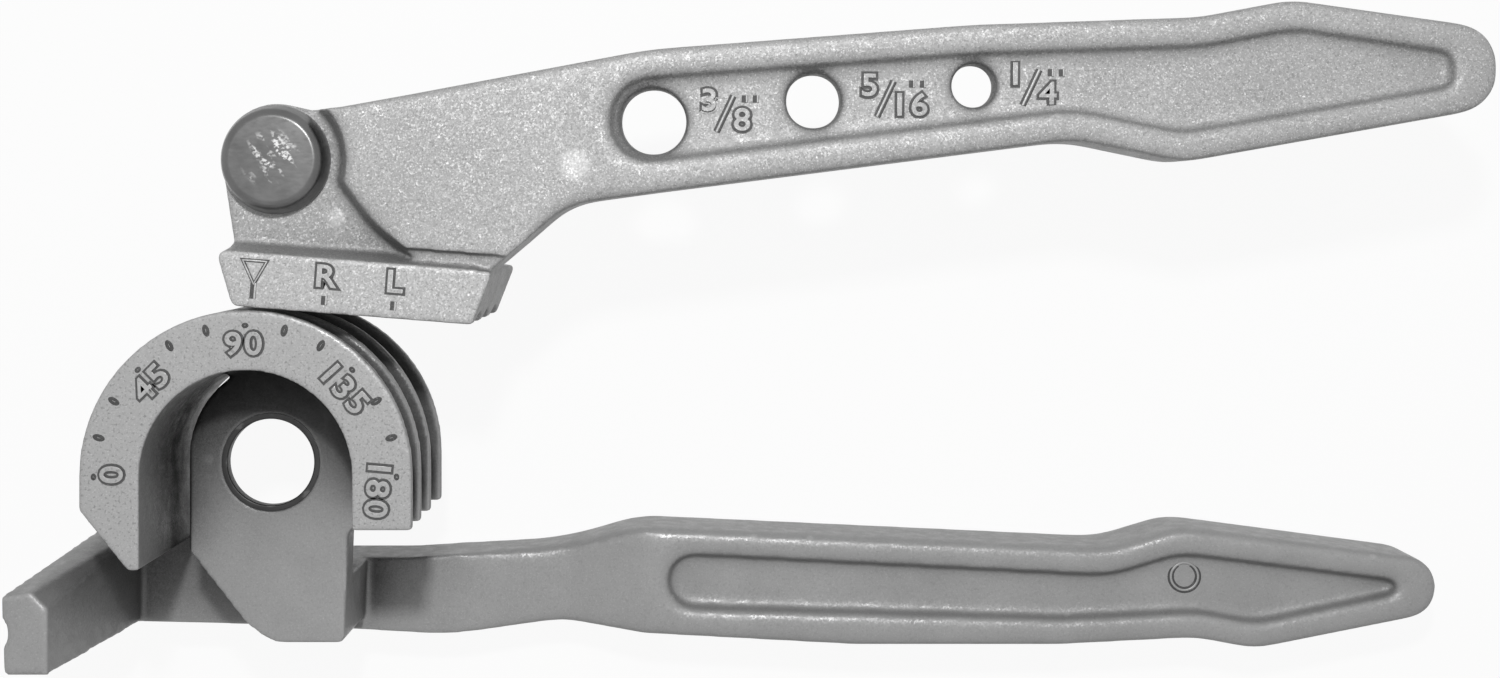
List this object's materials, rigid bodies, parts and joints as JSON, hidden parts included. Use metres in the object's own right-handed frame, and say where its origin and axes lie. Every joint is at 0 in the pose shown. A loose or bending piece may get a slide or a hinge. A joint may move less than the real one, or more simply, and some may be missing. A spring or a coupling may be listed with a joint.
{
  "type": "tube bender",
  "caption": "Lever tube bender: a grooved half-round mandrel with a degree scale and hook on one handle, and a linked shoe with gauge holes on the other.",
  "frame": {"origin": "on the mandrel's axis, at the front end of the centre bore", "axes": "+Z out of the marked front face, +X towards the grips' ends, +Y from the lower handle to the upper one"},
  "size_m": [0.2191, 0.1009, 0.0465],
  "materials": {
    "cast_mandrel": "satin casting",
    "cast_shoe": "grained casting",
    "bolt_steel": "worn turned steel",
    "link_steel": "zinc plated",
    "dark_steel": "dark turned steel"
  },
  "bodies": {
    "mandrel": {"mandrel_handle": "cast_mandrel"},
    "link": {"link_arm": "link_steel", "centre_trunnion": "dark_steel", "pivot_bolt": "bolt_steel", "pivot_washer": "link_steel", "pivot_nut": "link_steel"},
    "shoe": {"shoe_handle": "cast_shoe"}
  },
  "joints": [
    {"name": "link_swing", "type": "hinge", "parent": "mandrel", "child": "link", "pos_m": [0, 0, 0], "axis": [0, 0, 1], "range_deg": [-85.5, 94.5]},
    {"name": "shoe_swing", "type": "hinge", "parent": "link", "child": "shoe", "pos_m": [0.00362, 0.04596, 0], "axis": [0, 0, 1], "range_deg": [0, 75]}
  ]
}
